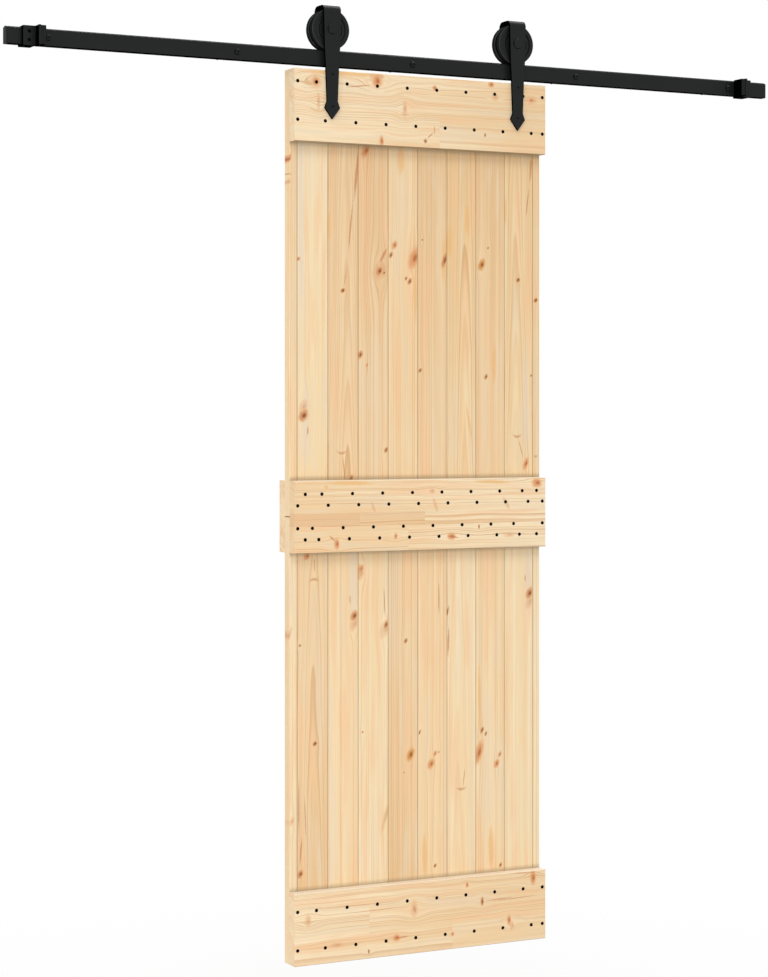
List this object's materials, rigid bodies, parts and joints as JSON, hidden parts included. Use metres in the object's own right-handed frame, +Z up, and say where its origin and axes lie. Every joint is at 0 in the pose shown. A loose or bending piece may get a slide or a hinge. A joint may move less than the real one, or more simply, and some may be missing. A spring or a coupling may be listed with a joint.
{
  "type": "sliding barn door",
  "caption": "Boarded pine sliding door with wide battens, hung from black spear-shaped strap hangers whose grooved wheels roll along a wall rail between end stops.",
  "frame": {"origin": "where the axis of the middle wall bolt meets the wall", "axes": "+X along the rail to the right as seen from the room, +Y into the wall, +Z up"},
  "size_m": [2.045, 0.161, 2.2536],
  "materials": {
    "pine_board": "planed pine, unvarnished",
    "pine_batten": "planed pine, unvarnished",
    "black_screw": "black oxide",
    "black_steel": "satin black powder coat",
    "wheel_steel": "satin black, turned",
    "cap_plastic": "moulded black",
    "stop_rubber": "matt black",
    "bearing_steel": "ground"
  },
  "bodies": {
    "track": {"rail": "black_steel", "rail_spacers": "black_steel", "wall_bolts": "black_steel", "left_stop": "black_steel", "right_stop": "black_steel", "left_end_cap": "cap_plastic", "right_end_cap": "cap_plastic", "left_rubber": "stop_rubber", "right_rubber": "stop_rubber", "stop_screws": "black_screw"},
    "door": {"upper_board_1": "pine_board", "upper_board_2": "pine_board", "upper_board_3": "pine_board", "upper_board_4": "pine_board", "upper_board_5": "pine_board", "upper_board_6": "pine_board", "upper_board_7": "pine_board", "upper_board_8": "pine_board", "lower_board_1": "pine_board", "lower_board_2": "pine_board", "lower_board_3": "pine_board", "lower_board_4": "pine_board", "lower_board_5": "pine_board", "lower_board_6": "pine_board", "lower_board_7": "pine_board", "lower_board_8": "pine_board", "upper_left_strip": "pine_board", "upper_right_strip": "pine_board", "lower_left_strip": "pine_board", "lower_right_strip": "pine_board", "top_batten": "pine_batten", "middle_batten": "pine_batten", "bottom_batten": "pine_batten", "rear_batten": "pine_batten", "top_batten_screws": "black_screw", "middle_batten_screws": "black_screw", "bottom_batten_screws": "black_screw", "rear_batten_screws": "black_screw", "left_strap": "black_steel", "left_axle_bolt": "black_steel", "left_axle_nut": "black_steel", "left_axle_sleeves": "black_steel", "left_strap_bolts": "black_steel", "left_strap_nuts": "black_steel", "left_bearing_inner_ring": "bearing_steel", "right_strap": "black_steel", "right_axle_bolt": "black_steel", "right_axle_nut": "black_steel", "right_axle_sleeves": "black_steel", "right_strap_bolts": "black_steel", "right_strap_nuts": "black_steel", "right_bearing_inner_ring": "bearing_steel"},
    "left_roller": {"left_wheel": "wheel_steel", "left_bearing_outer_ring": "bearing_steel", "left_bearing_balls": "bearing_steel"},
    "right_roller": {"right_wheel": "wheel_steel", "right_bearing_outer_ring": "bearing_steel", "right_bearing_balls": "bearing_steel"}
  },
  "joints": [
    {"name": "door_slide", "type": "slide", "parent": "track", "child": "door", "axis": [1, 0, 0], "range_m": [-0.6908, 0.6298]},
    {"name": "left_wheel_spin", "type": "hinge", "parent": "door", "child": "left_roller", "pos_m": [-0.221, -0.073, 0.06795], "axis": [0, 1, 0], "continuous": true},
    {"name": "right_wheel_spin", "type": "hinge", "parent": "door", "child": "right_roller", "pos_m": [0.282, -0.073, 0.06795], "axis": [0, 1, 0], "continuous": true}
  ],
  "couplings": [
    {"joint": "left_wheel_spin", "follows": "door_slide", "rad_per_m": 21.322},
    {"joint": "right_wheel_spin", "follows": "door_slide", "rad_per_m": 21.322}
  ]
}
